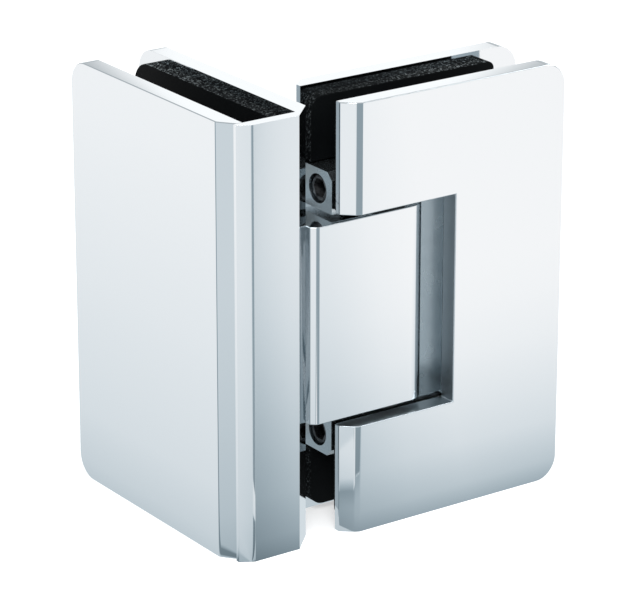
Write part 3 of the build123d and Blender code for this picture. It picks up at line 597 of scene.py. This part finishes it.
door_front = clamp_plate("door_front", front_high.x - front_low.x, door_lip, door_lip_depth)
lay(door_front, (front_low.x, front_low.y + plate, 0), (math.pi, 0, 0))
door_back = clamp_plate("door_back", back_high.x - back_low.x, door_lip, door_lip_depth)
lay(door_back, (back_low.x, back_high.y - plate, 0), (0, 0, 0))
for piece in (door_front, door_back):
    gap_low = (front_low.x - mm, front_low.y - mm, -notch_half)
    gap_high = (notch_end, back_high.y + mm, notch_half)
    combine(piece, stock("gap", gap_low, gap_high))
for z in (-boss_z, boss_z):
    boss_root = Vector((door_boss_x, front_low.y + plate / 2, z))
    combine(door_front, rod(boss_root, (0, 1, 0), boss_radius, front_high.y - boss_root.y), "UNION")
    combine(door_front, rod((door_boss_x, front_high.y + mm, z), (0, -1, 0), tap_radius, tap_depth))
    countersink(door_back, (door_boss_x, back_high.y, z), (0, -1, 0), plate, head_radius, clearance_radius)
for z in (-carrier_screw_z, carrier_screw_z):
    mouth = (carrier_screw_x, back_high.y, z)
    countersink(door_back, mouth, (0, -1, 0), plate, carrier_head_radius, carrier_clearance)
buff(door_front, arris)
buff(door_back, arris)

door_chrome, wire = new_material("door_chrome")
place = wire.node("ShaderNodeTexCoord", None, None, "Object")
haze = wire.node("ShaderNodeTexNoise", None, {"Vector": place, "Scale": 55.0, "Detail": 4.0})
grain = wire.node("ShaderNodeTexNoise", None, {"Vector": place, "Scale": 900.0, "Detail": 3.0})
ripple = wire.node("ShaderNodeBump", None, {
    "Strength": 0.02, "Distance": 0.0004, "Height": haze + 0.1 * grain})
spot = wire.node("ShaderNodeSeparateXYZ", None, {"Vector": place})
past_end, past_arm = spot - notch_end, wire.math("ABSOLUTE", spot.also("Z")) - notch_half
sawn = past_end.between(bright_edge, dull_edge) * past_arm.between(bright_edge, dull_edge)
plating = wire.node("ShaderNodeBsdfPrincipled", None, {
    "Base Color": sawn.tint((0.58, 0.62, 0.645, 1), (0.5, 0.55, 0.58, 1)), "Metallic": 1.0,
    "Roughness": 0.04 + 0.03 * haze + 0.26 * sawn, "Normal": ripple})
wire.node("ShaderNodeOutputMaterial", None, {"Surface": plating})
finish_piece(door_front, door_chrome, "door_clamp", "door_front_plate")
finish_piece(door_back, door_chrome, "door_clamp", "door_back_plate")

# Pivot carrier: a brass yoke between the door plates.  Its two lugs hold the pin, its back
# wall closes the notch with a rim that meets the front plate, and its front edges are
# chamfered.  Being out of the buffing wheel's reach, it is plated to a darker satin.
carrier_low, carrier_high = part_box("pivot_carrier")
set_low, set_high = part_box("pin_set_screws")
lug_face = 21.425 * mm
carrier_radius, carrier_chamfer, rim_depth = 3.0 * mm, 1.5 * mm, 1.6 * mm
pin_hole = 3.52 * mm

satin_plating, wire = new_material("satin_plating")
place = wire.node("ShaderNodeTexCoord", None, None, "Object")
cloud = wire.node("ShaderNodeTexNoise", None, {"Vector": place, "Scale": 240.0, "Detail": 5.0})
grit = wire.node("ShaderNodeTexNoise", None, {"Vector": place, "Scale": 3200.0, "Detail": 3.0})
pitted = wire.node("ShaderNodeBump", None, {
    "Strength": 0.15, "Distance": 0.00004, "Height": grit + 0.4 * cloud})
blasted = wire.node("ShaderNodeBsdfPrincipled", None, {
    "Base Color": cloud.tint((0.4, 0.45, 0.48, 1), (0.5, 0.56, 0.59, 1)), "Metallic": 1.0,
    "Roughness": 0.2 + 0.12 * cloud, "Normal": pitted})
wire.node("ShaderNodeOutputMaterial", None, {"Surface": blasted})

set_screw_z = set_high.z - (set_high.y - set_low.y) / 2
yoke = stock("yoke", carrier_low, carrier_high)
round_edges(yoke, "Y", lambda at: at.x > carrier_high.x - hair, carrier_radius, 8)
for side in (-1, 1):
    shave(yoke, (0, carrier_low.y + carrier_chamfer, side * carrier_high.z), (0, -1, side))
gap_low = (carrier_low.x - mm, carrier_low.y - mm, -lug_face)
gap_high = (notch_end, carrier_high.y + mm, lug_face)
combine(yoke, stock("gap", gap_low, gap_high))
rim_low = (notch_end, front_low.y + plate + fit, -lug_face)
rim_high = (notch_end + rim_depth, carrier_low.y + mm, lug_face)
combine(yoke, stock("rim", rim_low, rim_high), "UNION")
combine(yoke, rod((0, 0, carrier_low.z - mm), (0, 0, 1), pin_hole, 2 * (carrier_high.z + mm)))
set_hole = (set_high.y - set_low.y) / 2 + fit
for z in (-set_screw_z, set_screw_z):
    mouth = (carrier_low.x - mm, 0, z)
    combine(yoke, rod(mouth, (1, 0, 0), set_hole, mm - carrier_low.x))
buff(yoke, arris)
finish_piece(yoke, satin_plating, "door_clamp", "pivot_carrier")

# Pin, set screws and carrier screws.  The pin is ground steel.  The set screws are
# blackened steel with a deep hexagon socket, and lock the pin from the lugs' end faces.
pin_steel, wire = new_material("ground_pin_steel")
place = wire.node("ShaderNodeTexCoord", None, None, "Object")
squeezed = wire.node("ShaderNodeMapping", None, {"Vector": place, "Scale": (60.0, 60.0, 2600.0)})
streaks = wire.node("ShaderNodeTexNoise", None, {"Vector": squeezed, "Scale": 1.0, "Detail": 4.0})
lines = wire.node("ShaderNodeBump", None, {"Strength": 0.1, "Distance": 0.00005, "Height": streaks})
ground = wire.node("ShaderNodeBsdfPrincipled", None, {
    "Base Color": streaks.tint((0.48, 0.48, 0.48, 1), (0.66, 0.66, 0.65, 1)), "Metallic": 1.0,
    "Roughness": 0.2 + 0.15 * streaks, "Normal": lines})
wire.node("ShaderNodeOutputMaterial", None, {"Surface": ground})

black_steel, wire = new_material("blackened_steel")
place = wire.node("ShaderNodeTexCoord", None, None, "Object")
oxide = wire.node("ShaderNodeTexNoise", None, {
    "Vector": place, "Scale": 700.0, "Detail": 5.0, "Roughness": 0.65})
lines = wire.node("ShaderNodeBump", None, {"Strength": 0.25, "Distance": 0.00008, "Height": oxide})
coated = wire.node("ShaderNodeBsdfPrincipled", None, {
    "Base Color": oxide.between(0.35, 0.7).tint((0.035, 0.036, 0.04, 1), (0.16, 0.165, 0.17, 1)),
    "Metallic": 0.85, "Roughness": 0.32 + 0.2 * oxide, "Normal": lines})
wire.node("ShaderNodeOutputMaterial", None, {"Surface": coated})

dress("pivot_pin", pin_steel)
dress("pin_set_screws", black_steel)
carrier_spots = (carrier_screw_x, carrier_screw_z)
dress("carrier_screws", turned_steel("carrier_screw_steel", "XZ", carrier_spots, bright_steel))

# Gaskets of the door clamp: two Cs of the same black rubber sheet.  The thin one runs on
# over the carrier as far as its rim, and the thick one stops round the carrier.
door_far_radius, gasket_gap = 1.5 * mm, 0.3 * mm
door_rubber = cut_rubber(
    "door_gasket_rubber", "Y", run_axis="X", start=-5 * mm, end=25 * mm, faint=0.2, strong=0.7)
heels = {"door_face_gasket": (notch_end + rim_depth + gasket_gap, notch_half + gasket_gap),
         "door_seat_gasket": (carrier_high.x + gasket_gap, carrier_high.z + gasket_gap)}
for node, (heel, arm) in heels.items():
    low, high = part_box(node)
    sheet = stock(node.replace("gasket", "sheet"), low, high)
    round_edges(sheet, "Y", lambda at: at.x > high.x - hair, door_far_radius, 6)
    round_edges(sheet, "Y", lambda at: at.x < low.x + hair, near_radius, 8)
    combine(sheet, stock("gap", (low.x - mm, low.y - mm, -arm), (heel, high.y + mm, arm)))
    for z in (-boss_z, boss_z):
        combine(sheet, rod((door_boss_x, low.y - mm, z), (0, 1, 0), sleeve_hole, high.y - low.y + 2 * mm))
    buff(sheet, rubber_arris, 2)
    finish_piece(sheet, door_rubber, "door_clamp", node)

# Sleeves and clamp screws of the door clamp, the same as on the fixed one.
dress("door_boss_sleeves", nylon)
dress("door_clamp_screws", turned_steel("door_screw_steel", "XZ", (door_boss_x, boss_z), bright_steel))
